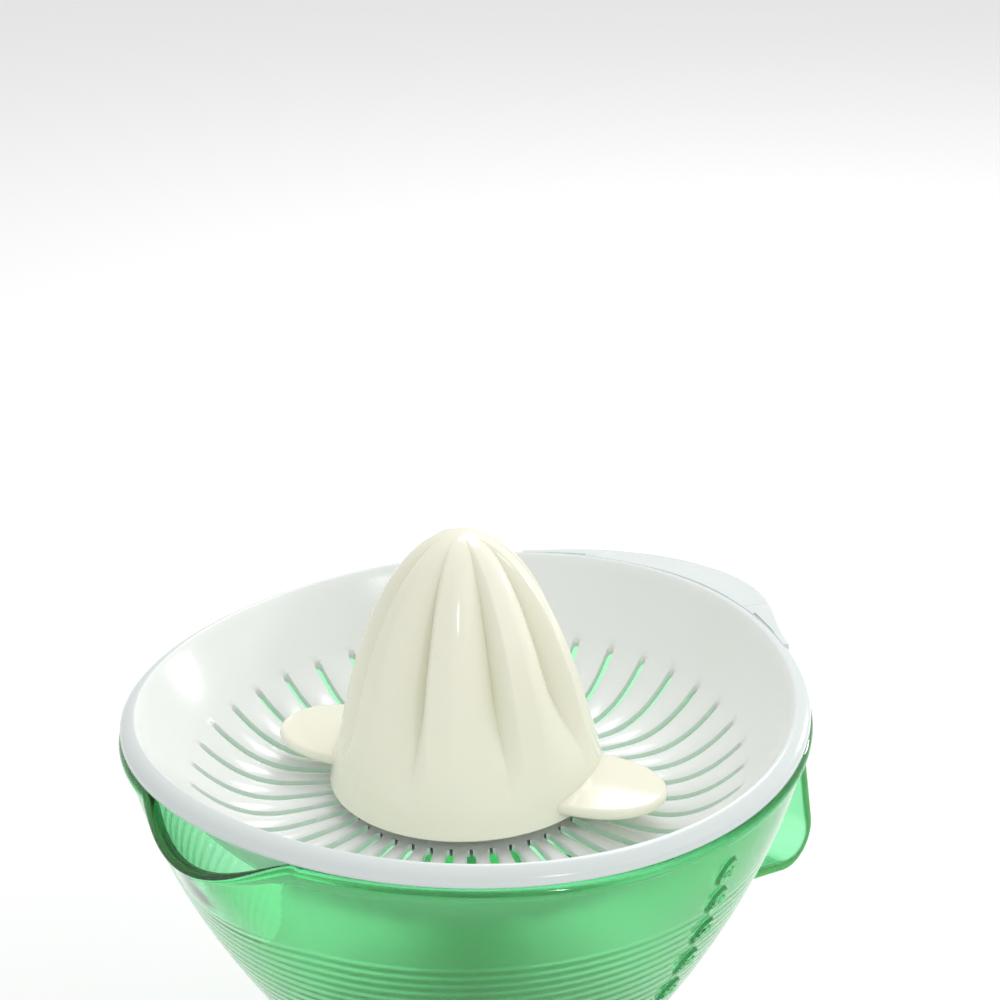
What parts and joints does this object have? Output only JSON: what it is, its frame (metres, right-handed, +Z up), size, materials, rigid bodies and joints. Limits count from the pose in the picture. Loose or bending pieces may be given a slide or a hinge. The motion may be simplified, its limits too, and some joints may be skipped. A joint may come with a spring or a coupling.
{
  "type": "citrus press",
  "caption": "Electric citrus press: lobed reamer cone with pulp paddles on a slotted sieve, over a clear jug with spout and handle, on a round motor base.",
  "frame": {"origin": "centre of the bounding box, on the table the feet stand on", "axes": "+Z up along the press's axis; +X towards the jug's handle, so the spout points to -X"},
  "size_m": [0.2127, 0.172, 0.2074],
  "materials": {
    "white_plastic": "smooth glossy white moulding",
    "sieve_white": "smooth glossy white moulding",
    "cone_cream": "smooth glossy cream moulding",
    "jug_green": "clear green moulding, polished",
    "grey_plastic": "fine matt grey moulding",
    "gear_plastic": "natural acetal",
    "dark_plastic": "matt black moulding",
    "red_plastic": "glossy red",
    "rubber": "matt black",
    "steel": "bright zinc-plated steel",
    "bronze": "sintered bronze",
    "copper": "varnished copper winding"
  },
  "bodies": {
    "base": {"base_housing": "white_plastic", "base_cover": "grey_plastic", "cord_grommet": "rubber", "foot_1": "rubber", "foot_2": "rubber", "foot_3": "rubber", "foot_4": "rubber", "cover_screw_1": "steel", "cover_screw_2": "steel", "cover_screw_3": "steel", "cover_screw_4": "steel", "chassis_plate": "steel", "chassis_screw_1": "steel", "chassis_screw_2": "steel", "chassis_screw_3": "steel", "chassis_screw_4": "steel", "motor_can": "steel", "motor_end_plate": "steel", "motor_coil": "copper", "idler_axle": "steel", "idler_clip": "steel", "lower_bush": "bronze", "upper_bush": "bronze", "shaft_seal": "rubber", "switch_body": "dark_plastic", "return_spring": "steel"},
    "press_cup": {"press_cup": "gear_plastic"},
    "shaft": {"drive_shaft": "steel", "output_gear": "gear_plastic", "shaft_clip": "steel"},
    "idler": {"idler_gear": "gear_plastic"},
    "rotor": {"rotor_shaft": "steel", "rotor_magnet": "dark_plastic", "motor_pinion": "bronze"},
    "plunger": {"switch_plunger": "red_plastic"},
    "jug": {"jug": "jug_green"},
    "sieve": {"sieve": "sieve_white"},
    "drive_sleeve": {"drive_sleeve": "grey_plastic"},
    "small_cone": {"small_cone": "cone_cream"},
    "large_cone": {"large_cone": "cone_cream"}
  },
  "joints": [
    {"name": "jug_lift", "type": "slide", "parent": "base", "child": "jug", "axis": [0, 0, 1], "range_m": [0, 0.12]},
    {"name": "sieve_lift", "type": "slide", "parent": "jug", "child": "sieve", "axis": [0, 0, 1], "range_m": [0, 0.12]},
    {"name": "cone_spin", "type": "hinge", "parent": "sieve", "child": "drive_sleeve", "pos_m": [-0.0149, 0, 0.138], "axis": [0, 0, 1], "continuous": true},
    {"name": "cone_press", "type": "slide", "parent": "drive_sleeve", "child": "small_cone", "axis": [0, 0, -1], "range_m": [0, 0.0025]},
    {"name": "cone_lift", "type": "slide", "parent": "small_cone", "child": "large_cone", "axis": [0, 0, 1], "range_m": [0, 0.1]},
    {"name": "shaft_press", "type": "slide", "parent": "base", "child": "press_cup", "axis": [0, 0, -1], "range_m": [0, 0.0025], "stiffness_N_per_m": 3000, "springref_m": -0.002, "deforming": ["return_spring"]},
    {"name": "shaft_spin", "type": "hinge", "parent": "press_cup", "child": "shaft", "pos_m": [-0.0149, 0, 0.03], "axis": [0, 0, 1], "continuous": true},
    {"name": "idler_spin", "type": "hinge", "parent": "base", "child": "idler", "pos_m": [0.0046, 0.01123, 0.045], "axis": [0, 0, 1], "continuous": true},
    {"name": "rotor_spin", "type": "hinge", "parent": "base", "child": "rotor", "pos_m": [0.0241, 0, 0.02], "axis": [0, 0, 1], "continuous": true},
    {"name": "plunger_travel", "type": "slide", "parent": "base", "child": "plunger", "axis": [0, 0, -1], "range_m": [0, 0.0025]}
  ],
  "couplings": [
    {"joint": "cone_spin", "follows": "shaft_spin", "ratio": 1},
    {"joint": "idler_spin", "follows": "shaft_spin", "ratio": -4},
    {"joint": "rotor_spin", "follows": "shaft_spin", "ratio": 16},
    {"joint": "cone_press", "follows": "shaft_press", "ratio": 1},
    {"joint": "plunger_travel", "follows": "shaft_press", "ratio": 1}
  ]
}
